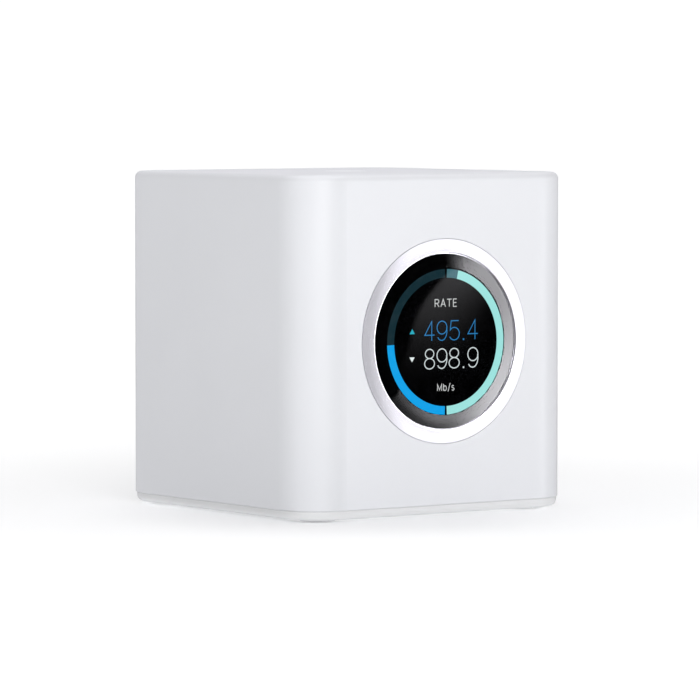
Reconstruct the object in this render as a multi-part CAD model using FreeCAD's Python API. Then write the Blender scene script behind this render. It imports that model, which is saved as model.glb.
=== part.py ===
"""Cube-shaped wireless router with a round touch display, as separate parts, one STEP file each.

Units are millimetres. +Z is up, the display faces -Y, and the origin is on the table under the
middle of the router's bounding box.
"""
import FreeCAD, Part

import math
import os

from FreeCAD import Vector

# ---------------------------------------------------------------- driving dimensions
WIDTH = 98.0  # X, over the side walls
DEPTH = 97.8  # Y, front wall to rear wall
HEIGHT = 99.6  # Z, table to top
CORNER_R = 14.0  # upright corners of the case
TOP_EDGE_R = 2.0
WALL = 2.2
BEZEL_PROUD = 0.9  # display ring's height above the front wall
FOOT_PROUD = 0.9  # gap under the lit base ring
SEAM = 3.6  # height of the seam between the base ring and the case

DISPLAY_Z = 51.1  # centre of the display above the table
BEZEL_R = 29.6
BEZEL_COLLAR_R = 28.2
GLASS_R = 25.5
GLASS_PROUD = 0.45
GLASS_T = 0.5
GLASS_FLAT_R = 21.4  # the glass falls away softly outside this radius
GLASS_FALL = 0.3
LCD_R = 22.4

BADGE_R = 6.5  # plain round inlay in the middle of the top
BADGE_T = 0.6

WINDOW_HALF = 34.0  # rear port window, half its width
WINDOW_LOW = 7.5
WINDOW_HIGH = 49.5
PANEL_T = 2.0
PANEL_GAP = 0.25  # port panel to the rear wall's inner face

BOARD_T = 1.6
BOARD_FRONT = 27.0  # Y of the main board's front face
BOARD_HALF = 37.4
BOARD_LOW = 8.0
BOARD_HIGH = 84.0

RJ_PITCH = 15.6
RJ_HEIGHT = 13.4
RJ_CAVITY = 14.0
LAN_PORTS = 4
LAN_LOW = 12.6  # underside of the four-port jack
UPPER_ROW_Z = 38.0  # centre line of the upper row of ports
WAN_X = 21.5
USB_A_X = 1.0
RESET_X = -12.5
USB_C_X = -25.0

SCREW_XY = 36.0  # corner screws and feet, from the middle of the case
FOOT_R = 5.5
FOOT_INSET = 0.8  # how far a foot sits up into the base plate
PLATE_LOW = 1.2
RING_WIDTH = 6.0
BASE_BOSS_R = 4.6
CASE_SCREW_HEAD_R = 2.9
CASE_SCREW_SEAT = 4.2
LEDS_PER_SIDE = 4
LED_PITCH = 20.0
FIT = 0.2  # clearance between neighbouring parts that only locate each other

TOUCH_T = 0.2
LCD_T = 1.4
BACKLIGHT_T = 1.6
EAR_T = 1.5
DISPLAY_BOARD_T = 1.2
DISPLAY_BOARD_R = 25.0

HEATSINK_HALF = 31.0
HEATSINK_LOW = 24.0
HEATSINK_HIGH = 80.0
SHIELD_T = 2.6
PAD_T = 0.6
FIN_DEPTH = 16.0

RESET_CAP_R = 2.3
SWITCH_T = 3.6
PLUNGER_R = 1.6
PLUNGER_END = 43.0

SPEAKER_R = 13.0
SPEAKER_X = -14.0
SPEAKER_Y = -16.0

COAX_R = 0.57
COAX_SLOT = (56.0, 7.0, 3.0)
COAX_RISE_Y = 19.5
LEAD_Z = 11.2

# ---------------------------------------------------------------- derived places
CENTRE_Y = BEZEL_PROUD / 2
FRONT = CENTRE_Y - DEPTH / 2
REAR = CENTRE_Y + DEPTH / 2
REAR_INNER = REAR - WALL
PANEL_REAR = REAR_INNER - PANEL_GAP
PANEL_FRONT = PANEL_REAR - PANEL_T
PORT_FACE = PANEL_REAR - 0.2
BOARD_REAR = BOARD_FRONT + BOARD_T
GLASS_BACK = FRONT - GLASS_PROUD + GLASS_T
CEILING = HEIGHT - WALL
FLANGE_TOP = SEAM + 1.8  # top of the chassis floor
CHASSIS_HALF = 39.6  # outer face of the chassis side walls
CHASSIS_WALL = 2.0
DECK_LOW = 86.0  # antenna deck of the chassis
DECK_HIGH = 87.6
BRACKET_FRONT = GLASS_BACK + TOUCH_T + LCD_T + BACKLIGHT_T
EAR_FRONT = FRONT + WALL + 5.0
DISPLAY_BOARD_FRONT = EAR_FRONT + EAR_T
WAN_LOW = UPPER_ROW_Z - RJ_HEIGHT / 2
SINK_BASE_REAR = BOARD_FRONT - SHIELD_T - PAD_T
SINK_BASE_FRONT = SINK_BASE_REAR - 3.0
CARRIER_HIGH = DECK_HIGH + 2.0
X_AXIS = Vector(1, 0, 0)
Y_AXIS = Vector(0, 1, 0)
Z_AXIS = Vector(0, 0, 1)
MIRRORS = (-1, 1)


# ---------------------------------------------------------------- shape helpers
def box(x0, x1, y0, y1, z0, z1):
    return Part.makeBox(x1 - x0, y1 - y0, z1 - z0, Vector(x0, y0, z0))


def rod(radius, start, direction, length):
    return Part.makeCylinder(radius, length, Vector(*start), direction)


def rounded_outline(width, height, radius):
    """A rounded rectangle about the origin in the XY plane, as a closed wire."""
    w, h, r = width / 2, height / 2, radius
    diagonal = r * math.sqrt(0.5)
    corners = [(w - r, h - r, 1, 1), (r - w, h - r, -1, 1), (r - w, r - h, -1, -1), (w - r, r - h, 1, -1)]
    edges = []
    for i, (cx, cy, sx, sy) in enumerate(corners):
        on_side = Vector(cx + sx * r, cy, 0)
        on_end = Vector(cx, cy + sy * r, 0)
        start, stop = (on_side, on_end) if sx == sy else (on_end, on_side)
        middle = Vector(cx + sx * diagonal, cy + sy * diagonal, 0)
        edges.append(Part.Arc(start, middle, stop).toShape())
        nx, ny, nsx, nsy = corners[(i + 1) % 4]
        follow = Vector(nx + nsx * r, ny, 0) if nsx == nsy else Vector(nx, ny + nsy * r, 0)
        if (follow - stop).Length > 1e-6:
            edges.append(Part.LineSegment(stop, follow).toShape())
    return Part.Wire(edges)


def upright_prism(width, depth, radius, z0, z1, cx=0.0, cy=None):
    """A rounded rectangle raised along Z, centred on the case unless told otherwise."""
    face = Part.Face(rounded_outline(width, depth, radius))
    solid = face.extrude(Vector(0, 0, z1 - z0))
    solid.translate(Vector(cx, CENTRE_Y if cy is None else cy, z0))
    return solid


def facing_slab(width, height, radius, y0, y1, cx=0.0, cz=0.0):
    """A rounded rectangle in the XZ plane, carried from y0 to y1."""
    face = Part.Face(rounded_outline(width, height, radius))
    solid = face.extrude(Vector(0, 0, y1 - y0))
    solid.rotate(Vector(0, 0, 0), X_AXIS, -90)
    solid.translate(Vector(cx, y0, cz))
    return solid


def turned(profile, x, z):
    """A solid of revolution about the Y line through (x, z), from (radius, y) points."""
    points = [Vector(x + r, y, z) for r, y in profile]
    wire = Part.makePolygon(points + points[:1])
    return Part.Face(wire).revolve(Vector(x, 0, z), Y_AXIS, 360)


def edges_at_z(shape, z):
    return [e for e in shape.Edges if abs(e.BoundBox.ZMin - z) < 1e-6 and abs(e.BoundBox.ZMax - z) < 1e-6]


def edges_at_y(shape, y):
    return [e for e in shape.Edges if abs(e.BoundBox.YMin - y) < 1e-6 and abs(e.BoundBox.YMax - y) < 1e-6]


def mirrored_spots(x, y):
    return [(sx * x, y_side) for sx in MIRRORS for y_side in (CENTRE_Y - y, CENTRE_Y + y)]


def screw(place, direction, head_r, head_h, shank_r, shank_length):
    """A cross-head screw whose head seats at place and whose shank runs along direction."""
    tip = shank_r * 0.6
    body = Part.makeCylinder(shank_r, shank_length - tip)
    point = Part.makeCone(shank_r, shank_r * 0.4, tip, Vector(0, 0, shank_length - tip))
    head = Part.makeCylinder(head_r, head_h, Vector(0, 0, -head_h))
    head = head.makeFillet(head_h * 0.4, edges_at_z(head, -head_h))
    solid = head.fuse([body, point]).removeSplitter()
    slot_long, slot_wide, slot_deep = head_r * 1.1, head_r * 0.28, head_h * 0.6
    for sx, sy in ((slot_long, slot_wide), (slot_wide, slot_long)):
        solid = solid.cut(box(-sx / 2, sx / 2, -sy / 2, sy / 2, -head_h - 1, -head_h + slot_deep))
    turn = FreeCAD.Rotation(Z_AXIS, direction)
    solid.Placement = FreeCAD.Placement(Vector(*place), turn)
    return solid


def rounded_path(points, radius=None):
    """Straight runs joined by tangent arcs. Each arc is as large as its two runs allow, up to radius."""
    corners = [Vector(*p) for p in points]
    edges, start = [], corners[0]
    for before, corner, after in zip(corners, corners[1:], corners[2:]):
        back = (before - corner).normalize()
        ahead = (after - corner).normalize()
        half_turn = (math.pi - back.getAngle(ahead)) / 2
        reach = 0.45 * min((before - corner).Length, (after - corner).Length)
        bend = reach / math.tan(half_turn)
        if radius is not None:
            bend = min(bend, radius)
        reach = bend * math.tan(half_turn)
        enter, leave = corner + back * reach, corner + ahead * reach
        inward = (back + ahead).normalize()
        middle = corner + inward * (bend / math.cos(half_turn) - bend)
        edges.append(Part.LineSegment(start, enter).toShape())
        edges.append(Part.Arc(enter, middle, leave).toShape())
        start = leave
    edges.append(Part.LineSegment(start, corners[-1]).toShape())
    return Part.Wire(edges)


def wire_lead(points, radius):
    """A round lead along a path of runs and arcs."""
    path = rounded_path(points)
    along = (Vector(*points[1]) - Vector(*points[0])).normalize()
    section = Part.Wire(Part.makeCircle(radius, Vector(*points[0]), along))
    return path.makePipeShell([section], True, True)


def flat_lead(points, width_vector, thickness, bend):
    """A flat cable whose width lies along width_vector, following a path of runs and arcs."""
    path = rounded_path(points, bend)
    along = (Vector(*points[1]) - Vector(*points[0])).normalize()
    across = Vector(*width_vector)
    normal = along.cross(across).normalize() * (thickness / 2)
    start = Vector(*points[0]) - across * 0.5
    corners = [start - normal, start + across - normal, start + across + normal, start + normal]
    return path.makePipeShell([Part.makePolygon(corners + corners[:1])], True, True)


# ---------------------------------------------------------------- case and base
def corner_boss(x, y):
    """Screw boss near one corner of the case, tied to the wall by a web above the light board."""
    top = 22.0
    boss = rod(3.3, (x, y, FLANGE_TOP), Z_AXIS, top - FLANGE_TOP)
    sx, sy = math.copysign(1, x), math.copysign(1, y - CENTRE_Y)
    web_length = 11.5
    web = box(0, web_length, -0.8, 0.8, FLANGE_TOP + 1.6, top)
    web.rotate(Vector(0, 0, 0), Z_AXIS, math.degrees(math.atan2(sy, sx)))
    web.translate(Vector(x, y, 0))
    return boss.fuse(web)


def display_boss_spots():
    reach = 34.0 * math.sqrt(0.5)
    return [(sx * reach, DISPLAY_Z + sz * reach) for sx in MIRRORS for sz in MIRRORS]


def case():
    """One-piece moulded sleeve: four walls and the top."""
    outer = upright_prism(WIDTH, DEPTH, CORNER_R, SEAM, HEIGHT)
    outer = outer.makeFillet(TOP_EDGE_R, edges_at_z(outer, HEIGHT))
    outer = outer.makeFillet(0.4, edges_at_z(outer, SEAM))
    cavity_r = CORNER_R - WALL
    cavity = upright_prism(WIDTH - 2 * WALL, DEPTH - 2 * WALL, cavity_r, SEAM - 1, CEILING)
    cavity = cavity.makeFillet(1.0, edges_at_z(cavity, CEILING))
    shell = outer.cut(cavity)
    bosses = [corner_boss(x, y) for x, y in mirrored_spots(SCREW_XY, SCREW_XY)]
    inner_front = FRONT + WALL
    bosses += [rod(2.9, (x, inner_front, z), Y_AXIS, 5.0) for x, z in display_boss_spots()]
    block = upright_prism(WIDTH - WALL, DEPTH - WALL, CORNER_R - WALL / 2, SEAM, CEILING)
    shell = shell.fuse([b.common(block) for b in bosses])
    cuts = [rod(1.25, (x, y, FLANGE_TOP - 1), Z_AXIS, 14.0) for x, y in mirrored_spots(SCREW_XY, SCREW_XY)]
    cuts += [rod(0.9, (x, inner_front + 1.0, z), Y_AXIS, 5.0) for x, z in display_boss_spots()]
    centre = (0, FRONT - 1, DISPLAY_Z)
    cuts.append(rod(BEZEL_R + FIT, centre, Y_AXIS, 1.9))
    cuts.append(rod(BEZEL_COLLAR_R + FIT, centre, Y_AXIS, WALL + 2))
    window_mid = (WINDOW_LOW + WINDOW_HIGH) / 2
    window = (2 * WINDOW_HALF, WINDOW_HIGH - WINDOW_LOW, 5.0)
    cuts.append(facing_slab(*window, REAR_INNER - 1, REAR + 1, cz=window_mid))
    cuts.append(rod(BADGE_R + 0.05, (0, CENTRE_Y, HEIGHT - BADGE_T), Z_AXIS, BADGE_T + 1))
    shell = shell.cut(Part.Compound(cuts))
    lips = [e for e in edges_at_y(shell, REAR) if e.BoundBox.XMin > -WINDOW_HALF - 0.1
            and e.BoundBox.XMax < WINDOW_HALF + 0.1 and e.BoundBox.ZMax < WINDOW_HIGH + 0.1]
    return shell.makeFillet(0.5, lips)


def top_badge():
    disc = rod(BADGE_R, (0, CENTRE_Y, HEIGHT - BADGE_T), Z_AXIS, BADGE_T)
    return disc.makeFillet(0.15, edges_at_z(disc, HEIGHT))


def light_ring():
    """Clear diffusing ring that carries the base light round the foot of the case."""
    inset = 0.4
    ring = upright_prism(WIDTH - 2 * inset, DEPTH - 2 * inset, CORNER_R - inset, FOOT_PROUD, SEAM)
    ring = ring.makeFillet(1.8, edges_at_z(ring, FOOT_PROUD))
    ring = ring.makeFillet(0.25, edges_at_z(ring, SEAM))
    inner = (WIDTH - 2 * RING_WIDTH, DEPTH - 2 * RING_WIDTH, CORNER_R - RING_WIDTH)
    ring = ring.cut(upright_prism(*inner, FOOT_PROUD - 1, SEAM + 1))
    rebate = (inner[0] + 2.8, inner[1] + 2.8, inner[2] + 1.4)
    return ring.cut(upright_prism(*rebate, FOOT_PROUD - 1, PLATE_LOW + 0.8))


def chassis_screw_spots():
    return [(sx * 34.5, y) for sx in MIRRORS for y in (-14.0, 14.0)]


def base_plate():
    """Vented underside with foot recesses. Its lip holds the light ring up against the chassis."""
    gap = RING_WIDTH + FIT
    plug = (WIDTH - 2 * gap, DEPTH - 2 * gap, CORNER_R - gap)
    plate = upright_prism(*plug, PLATE_LOW, SEAM)
    lip = upright_prism(plug[0] + 2.6, plug[1] + 2.6, plug[2] + 1.3, PLATE_LOW, PLATE_LOW + 0.7)
    pocket = upright_prism(plug[0] - 4, plug[1] - 4, plug[2] - 2, PLATE_LOW + 1.8, SEAM + 1)
    floor_z = PLATE_LOW + 1.8
    bosses = [rod(BASE_BOSS_R, (x, y, floor_z), Z_AXIS, FLANGE_TOP - floor_z)
              for x, y in mirrored_spots(SCREW_XY, SCREW_XY)]
    bosses += [rod(3.6, (x, y, floor_z), Z_AXIS, SEAM - floor_z) for x, y in chassis_screw_spots()]
    plate = plate.cut(pocket).fuse([lip] + bosses).removeSplitter()
    cuts = []
    for x, y in mirrored_spots(SCREW_XY, SCREW_XY):
        cuts.append(rod(FOOT_R + 0.1, (x, y, 0), Z_AXIS, PLATE_LOW + FOOT_INSET))
        cuts.append(rod(CASE_SCREW_HEAD_R + FIT, (x, y, 0), Z_AXIS, CASE_SCREW_SEAT))
        cuts.append(rod(1.6, (x, y, 0), Z_AXIS, FLANGE_TOP + 1))
    for x, y in chassis_screw_spots():
        cuts.append(rod(2.4, (x, y, 0), Z_AXIS, PLATE_LOW + 1.4))
        cuts.append(rod(1.2, (x, y, 0), Z_AXIS, SEAM + 1))
    slot_rows, slot_pitch, slot_length, slot_width = 11, 5.0, 25.0, 2.0
    for sx in MIRRORS:
        for i in range(slot_rows):
            y = CENTRE_Y + (i - (slot_rows - 1) / 2) * slot_pitch
            slot = (slot_length, slot_width, slot_width * 0.499)
            cuts.append(upright_prism(*slot, 0, SEAM, cx=sx * 15.5, cy=y))
    return plate.cut(Part.Compound(cuts))


def rubber_feet():
    feet = []
    for x, y in mirrored_spots(SCREW_XY, SCREW_XY):
        foot = rod(FOOT_R, (x, y, 0), Z_AXIS, PLATE_LOW + FOOT_INSET)
        feet.append(foot.makeFillet(0.5, edges_at_z(foot, 0)))
    return Part.Compound(feet)


def case_screws():
    """Long screws hidden by the feet. They pull the base, the light ring and the case together."""
    spots = mirrored_spots(SCREW_XY, SCREW_XY)
    size = (CASE_SCREW_HEAD_R, 1.5, 1.2, 13.0)
    return Part.Compound([screw((x, y, CASE_SCREW_SEAT), Z_AXIS, *size) for x, y in spots])


def chassis_screws():
    seat = PLATE_LOW + 1.4
    size = (2.1, 1.2, 0.95, 7.0)
    return Part.Compound([screw((x, y, seat), Z_AXIS, *size) for x, y in chassis_screw_spots()])


# ---------------------------------------------------------------- chassis and its light board
def led_spots():
    """Places of the base lights round the four sides, as (x, y)."""
    reach_x, reach_y = WIDTH / 2 - 5.4, DEPTH / 2 - 5.4
    steps = [(i - (LEDS_PER_SIDE - 1) / 2) * LED_PITCH for i in range(LEDS_PER_SIDE)]
    sides = [(sx * reach_x, CENTRE_Y + s) for sx in MIRRORS for s in steps]
    ends = [(s, CENTRE_Y + sy * reach_y) for sy in MIRRORS for s in steps]
    return sides + ends


def board_screw_spots():
    return [(sx * 35.4, z) for sx in MIRRORS for z in (12.0, 80.0)]


def panel_screw_spots():
    return [(-20.0, 83.0), (20.0, 83.0)]


def chassis():
    """Moulded frame that stands on the base and carries the main board, port panel and antennas."""
    room = 2 * (WALL + 0.15)
    floor = upright_prism(WIDTH - room, DEPTH - room, CORNER_R - room / 2, SEAM, FLANGE_TOP)
    inner = CHASSIS_HALF - CHASSIS_WALL
    side_front, side_rear = -28.0, 32.0
    parts = []
    for sx in MIRRORS:
        lo, hi = sorted((sx * inner, sx * CHASSIS_HALF))
        wall = box(lo, hi, side_front, side_rear, FLANGE_TOP, DECK_HIGH)
        hole = box(lo - 1, hi + 1, -18.0, 16.0, 20.0, 76.0)
        through = [e for e in hole.Edges if abs(e.BoundBox.XLength - (hi - lo + 2)) < 1e-6]
        hole = hole.makeFillet(5.0, through)
        parts.append(wall.cut(hole))
        lo, hi = sorted((sx * 33.5, sx * inner))
        parts.append(box(lo, hi, BOARD_FRONT - 3.0, BOARD_FRONT, FLANGE_TOP, DECK_LOW))
    parts += [rod(3.4, (x, y, FLANGE_TOP), Z_AXIS, 6.0) for x, y in chassis_screw_spots()]
    parts.append(box(-26.0, 26.0, side_rear, PANEL_FRONT, DECK_LOW, DECK_HIGH))
    parts.append(box(-26.0, 26.0, PANEL_FRONT - 2.6, PANEL_FRONT, 79.5, DECK_LOW))
    deck = box(-CHASSIS_HALF, CHASSIS_HALF, side_front, side_rear, DECK_LOW, DECK_HIGH)
    deck = deck.cut(upright_prism(56.0, 20.0, 4.0, DECK_LOW - 1, DECK_HIGH + 1, cy=-13.0))
    deck = deck.cut(upright_prism(*COAX_SLOT, DECK_LOW - 1, DECK_HIGH + 1, cy=COAX_RISE_Y))
    frame = floor.fuse(parts + [deck]).removeSplitter()
    spots = mirrored_spots(SCREW_XY, SCREW_XY)
    cuts = [rod(BASE_BOSS_R + 0.3, (x, y, SEAM - 1), Z_AXIS, 4) for x, y in spots]
    cuts += [rod(1.0, (x, y, 0), Z_AXIS, FLANGE_TOP + 4.5) for x, y in chassis_screw_spots()]
    cuts += [rod(0.9, (x, BOARD_FRONT - 4, z), Y_AXIS, 6) for x, z in board_screw_spots()]
    cuts += [rod(0.9, (x, PANEL_FRONT - 4, z), Y_AXIS, 6) for x, z in panel_screw_spots()]
    cuts += [box(x - 1.8, x + 1.8, y - 1.8, y + 1.8, SEAM - 1, FLANGE_TOP + 1) for x, y in led_spots()]
    cuts.append(upright_prism(25.0, 50.0, 4.0, SEAM - 1, FLANGE_TOP + 1, cx=16.5, cy=-5.0))
    cuts.append(rod(SPEAKER_R - 2.5, (SPEAKER_X, SPEAKER_Y, SEAM - 1), Z_AXIS, 4))
    cuts.append(upright_prism(27.0, 14.0, 3.0, SEAM - 1, FLANGE_TOP + 1, cx=-15.5, cy=12.0))
    cuts += [rod(0.8, (x, y, SEAM - 1), Z_AXIS, 4) for x, y in speaker_screw_spots()]
    cuts += [rod(0.8, (x, y, DECK_LOW - 1), Z_AXIS, 4) for x, y in antenna_screw_spots()]
    return frame.cut(Part.Compound(cuts))


def light_board():
    """Narrow circuit board round the inside of the case foot."""
    edge = 2 * (WALL + 0.7)
    outer = upright_prism(WIDTH - edge, DEPTH - edge, CORNER_R - edge / 2, FLANGE_TOP, FLANGE_TOP + 1.0)
    side = 2 * (CHASSIS_HALF + 0.4)
    inner = upright_prism(side, side, 8.0, FLANGE_TOP - 1, FLANGE_TOP + 2)
    spots = mirrored_spots(SCREW_XY, SCREW_XY)
    holes = [rod(BASE_BOSS_R + 0.3, (x, y, FLANGE_TOP - 1), Z_AXIS, 3) for x, y in spots]
    return outer.cut(Part.Compound([inner] + holes))


def base_leds():
    half = 1.4
    return Part.Compound([box(x - half, x + half, y - half, y + half, SEAM + 0.1, FLANGE_TOP)
                          for x, y in led_spots()])


# ---------------------------------------------------------------- display module
def display_bezel():
    """Pearl ring: a lip that slopes away from a sharp inner crest, and a collar through the wall."""
    seat = FRONT + 0.9
    crest = FRONT - BEZEL_PROUD
    ledge = GLASS_BACK + 0.2
    inside = Vector(GLASS_R + 0.1, FRONT - GLASS_PROUD - 0.05, 0)
    top = Vector(GLASS_R + 0.55, crest, 0)
    rim = Vector(BEZEL_R, FRONT - 0.02, 0)
    lip = Part.Arc(inside, Vector(GLASS_R + 0.22, crest + 0.09, 0), top).toShape()
    slope = Part.Arc(top, (top + rim) * 0.5 - Vector(0, 0.06, 0), rim).toShape()
    hidden = [
        rim, Vector(BEZEL_R, seat, 0), Vector(BEZEL_COLLAR_R, seat, 0), Vector(BEZEL_COLLAR_R, FRONT + 4.2, 0),
        Vector(LCD_R + 0.3, FRONT + 4.2, 0), Vector(LCD_R + 0.3, ledge, 0), Vector(GLASS_R + 0.1, ledge, 0), inside,
    ]
    edges = [lip, slope] + [Part.LineSegment(a, b).toShape() for a, b in zip(hidden, hidden[1:])]
    ring = Part.Face(Part.Wire(edges)).revolve(Vector(0, 0, 0), Y_AXIS, 360)
    ring.translate(Vector(0, 0, DISPLAY_Z))
    return ring


def display_glass():
    """Cover glass, flat over the screen, with a softly domed border."""
    front = FRONT - GLASS_PROUD
    middle = (GLASS_FLAT_R + GLASS_R) / 2
    crown = [Vector(GLASS_FLAT_R, front, 0), Vector(middle, front + GLASS_FALL * 0.25, 0),
             Vector(GLASS_R, front + GLASS_FALL, 0)]
    rear = [Vector(GLASS_R, GLASS_BACK, 0), Vector(0, GLASS_BACK, 0)]
    rest = [crown[2]] + rear + [Vector(0, front, 0), crown[0]]
    edges = [Part.Arc(*crown).toShape()]
    edges += [Part.LineSegment(a, b).toShape() for a, b in zip(rest, rest[1:])]
    disc = Part.Face(Part.Wire(edges)).revolve(Vector(0, 0, 0), Y_AXIS, 360)
    disc.translate(Vector(0, 0, DISPLAY_Z))
    return disc


def glass_adhesive():
    ring = rod(GLASS_R - 0.1, (0, GLASS_BACK, DISPLAY_Z), Y_AXIS, 0.2)
    return ring.cut(rod(LCD_R + 0.4, (0, GLASS_BACK - 1, DISPLAY_Z), Y_AXIS, 3))


def stacked_disc(front, thickness):
    return rod(LCD_R, (0, front, DISPLAY_Z), Y_AXIS, thickness)


def touch_sensor():
    return stacked_disc(GLASS_BACK, TOUCH_T)


def lcd_panel():
    return stacked_disc(GLASS_BACK + TOUCH_T, LCD_T)


def display_backlight():
    return stacked_disc(GLASS_BACK + TOUCH_T + LCD_T, BACKLIGHT_T)


def display_bracket():
    """Cup behind the screen with four ears, screwed to the case from inside."""
    rim_r = 26.4
    profile = [
        (9.0, BRACKET_FRONT), (LCD_R, BRACKET_FRONT), (LCD_R, FRONT + 4.3), (rim_r, FRONT + 4.3),
        (rim_r, DISPLAY_BOARD_FRONT), (rim_r - 2.4, DISPLAY_BOARD_FRONT), (rim_r - 2.4, FRONT + 5.6),
        (9.0, FRONT + 5.6),
    ]
    cup = turned(profile, 0, DISPLAY_Z)
    ears = []
    for x, z in display_boss_spots():
        ear = box(0, 38.0, -3.2, 3.2, 0, EAR_T)
        ear = ear.makeFillet(3.0, [e for e in ear.Edges if abs(e.BoundBox.ZLength - EAR_T) < 1e-6
                                   and e.BoundBox.XMin > 1])
        ear.rotate(Vector(0, 0, 0), X_AXIS, -90)
        ear.rotate(Vector(0, 0, 0), Y_AXIS, -math.degrees(math.atan2(z - DISPLAY_Z, x)))
        ear.translate(Vector(0, EAR_FRONT, DISPLAY_Z))
        ears.append(ear.cut(rod(rim_r - 1, (0, EAR_FRONT - 1, DISPLAY_Z), Y_AXIS, 4)))
    bracket = cup.fuse(ears).removeSplitter()
    holes = [rod(1.1, (x, EAR_FRONT - 1, z), Y_AXIS, 4) for x, z in display_boss_spots()]
    return bracket.cut(Part.Compound(holes))


def display_screws():
    seat = EAR_FRONT + EAR_T
    back = Vector(0, -1, 0)
    return Part.Compound([screw((x, seat, z), back, 1.9, 1.2, 0.85, 5.2) for x, z in display_boss_spots()])


def display_board():
    disc = rod(DISPLAY_BOARD_R, (0, DISPLAY_BOARD_FRONT, DISPLAY_Z), Y_AXIS, DISPLAY_BOARD_T)
    flat = box(-30, 30, DISPLAY_BOARD_FRONT - 1, DISPLAY_BOARD_FRONT + 3, 20, DISPLAY_Z - 21)
    return disc.cut(flat)


def display_chips():
    rear = DISPLAY_BOARD_FRONT + DISPLAY_BOARD_T
    driver = box(-5, 5, rear, rear + 1.1, DISPLAY_Z + 2, DISPLAY_Z + 12)
    memory = box(-15, -9, rear, rear + 0.9, DISPLAY_Z - 4, DISPLAY_Z + 4)
    regulator = box(9, 13, rear, rear + 1.4, DISPLAY_Z - 3, DISPLAY_Z + 2)
    return Part.Compound([driver, memory, regulator])


# ---------------------------------------------------------------- main board and its parts
def jack_spots():
    return [((i - (LAN_PORTS - 1) / 2) * RJ_PITCH, LAN_LOW) for i in range(LAN_PORTS)]


def sink_screw_spots():
    return [(sx * 28.5, z) for sx in MIRRORS for z in (28.65, 77.0)]


def main_board():
    mid = (BOARD_LOW + BOARD_HIGH) / 2
    size = (2 * BOARD_HALF, BOARD_HIGH - BOARD_LOW, 1.5)
    board = facing_slab(*size, BOARD_FRONT, BOARD_REAR, cz=mid)
    holes = [rod(1.2, (x, BOARD_FRONT - 1, z), Y_AXIS, 4) for x, z in board_screw_spots()]
    holes += [rod(1.1, (x, BOARD_FRONT - 1, z), Y_AXIS, 4) for x, z in sink_screw_spots()]
    return board.cut(Part.Compound(holes))


def frame_screws():
    """Short screws for the main board, the heatsink's legs and the port panel."""
    places = [(x, BOARD_REAR, z) for x, z in board_screw_spots() + sink_screw_spots()]
    places += [(x, PANEL_REAR - 1.2, z) for x, z in panel_screw_spots()]
    return Part.Compound([screw(place, Vector(0, -1, 0), 1.9, 1.1, 0.85, 3.6) for place in places])


def chip(x, z, width, height, thickness):
    """A package on the main board's front face, with a bevelled lid."""
    top = BOARD_FRONT - thickness
    body = box(x - width / 2, x + width / 2, top, BOARD_FRONT, z - height / 2, z + height / 2)
    return body.makeChamfer(min(0.3, thickness * 0.25), edges_at_y(body, top))


def processor_chip():
    return chip(0, 38, 17, 17, 1.4)


def memory_chips():
    return Part.Compound([chip(-19, 38, 9, 13, 1.1), chip(19, 38, 9, 13, 1.1)])


def switch_chip():
    return chip(0, 19.5, 12, 12, 0.9)


def shield_can(x, z):
    """Pressed-tin can over one radio."""
    half, lid = 13.0, BOARD_FRONT - SHIELD_T
    outer = box(x - half, x + half, lid, BOARD_FRONT, z - half, z + half)
    uprights = [e for e in outer.Edges if abs(e.BoundBox.YLength - SHIELD_T) < 1e-6]
    outer = outer.makeFillet(1.0, uprights)
    inside = half - 0.2
    return outer.cut(box(x - inside, x + inside, lid + 0.2, BOARD_FRONT + 1, z - inside, z + inside))


def radio_shields():
    return Part.Compound([shield_can(-14.0, 62.0), shield_can(14.0, 62.0)])


def radio_chips():
    return Part.Compound([chip(-14, 62, 12, 12, 0.9), chip(14, 62, 12, 12, 0.9)])


def thermal_pads():
    """Soft pads that fill the gap from the processor, memory and radio cans to the heatsink."""
    over_cans = BOARD_FRONT - SHIELD_T
    pads = [box(x - 12, x + 12, SINK_BASE_REAR, over_cans, 50, 74) for x in (-14, 14)]
    pads.append(box(-8, 8, SINK_BASE_REAR, BOARD_FRONT - 1.4, 30, 46))
    pads += [box(x - 4.2, x + 4.2, SINK_BASE_REAR, BOARD_FRONT - 1.1, 32, 44) for x in (-19, 19)]
    return Part.Compound(pads)


def heatsink():
    """Finned aluminium plate on four legs."""
    base = box(-HEATSINK_HALF, HEATSINK_HALF, SINK_BASE_FRONT, SINK_BASE_REAR, HEATSINK_LOW, HEATSINK_HIGH)
    fins, fin_t, count = [], 1.4, 13
    for i in range(count):
        x = (i / (count - 1) - 0.5) * (2 * HEATSINK_HALF - fin_t)
        fins.append(box(x - fin_t / 2, x + fin_t / 2, SINK_BASE_FRONT - FIN_DEPTH, SINK_BASE_FRONT,
                        HEATSINK_LOW, HEATSINK_HIGH))
    leg_length = BOARD_FRONT - SINK_BASE_REAR
    legs = [rod(2.3, (x, SINK_BASE_REAR, z), Y_AXIS, leg_length) for x, z in sink_screw_spots()]
    body = base.fuse(fins + legs)
    pilots = [rod(0.9, (x, BOARD_FRONT - 2.6, z), Y_AXIS, 4) for x, z in sink_screw_spots()]
    return body.cut(Part.Compound(pilots)).removeSplitter()


def power_parts():
    """Inductors and can capacitors of the power supply, on the board's front face."""
    parts = [chip(x, 17.0, 7.0, 7.0, 3.4) for x in (-29.0, -20.0)]
    for x in (19.0, 27.0):
        can = rod(3.1, (x, BOARD_FRONT - 7.5, 18.0), Y_AXIS, 7.5)
        parts.append(can.makeFillet(0.6, edges_at_y(can, BOARD_FRONT - 7.5)))
    return Part.Compound(parts)


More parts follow.
